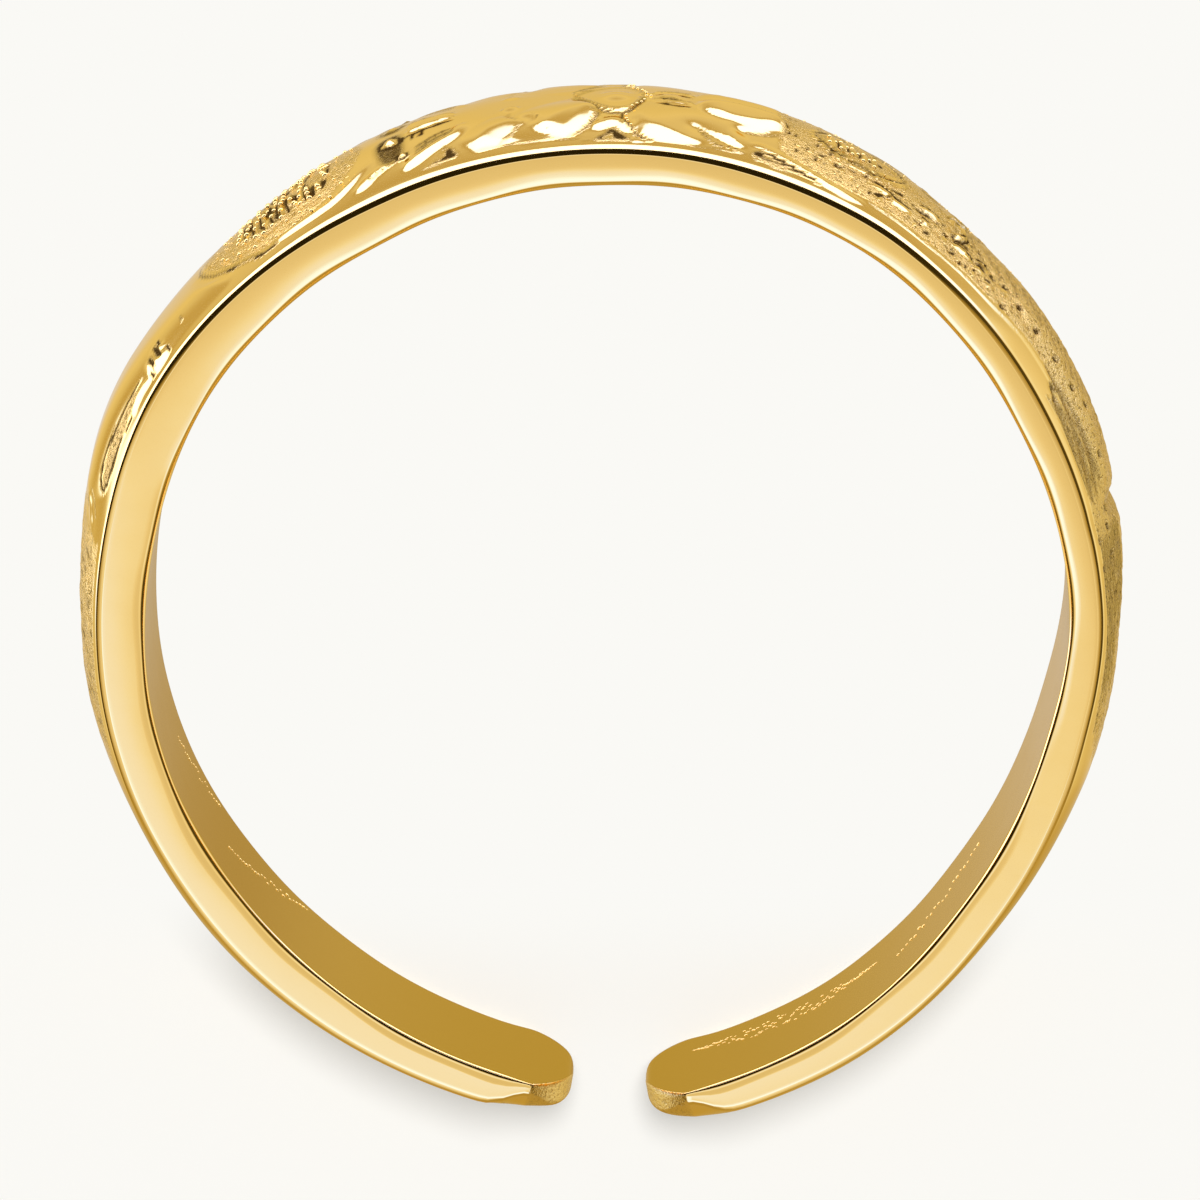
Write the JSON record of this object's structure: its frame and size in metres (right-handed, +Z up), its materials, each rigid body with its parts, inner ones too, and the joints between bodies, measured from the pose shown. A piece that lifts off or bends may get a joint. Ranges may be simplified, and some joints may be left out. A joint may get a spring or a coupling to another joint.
{
  "type": "toe ring",
  "caption": "Open C-shaped toe ring in polished yellow gold, with cast floral relief round the front, lying on its side.",
  "frame": {"origin": "middle of the footprint, on the floor that the lower side face lies on", "axes": "+Z up out of the upper side face, +Y towards the middle flower at the front, gap between the tips towards -Y, +X to the right with the flower at the top of the view"},
  "size_m": [0.0174, 0.0174, 0.0045],
  "materials": {
    "yellow_gold": "polished"
  },
  "bodies": {
    "root": {"toe_ring": "yellow_gold"}
  },
  "joints": []
}
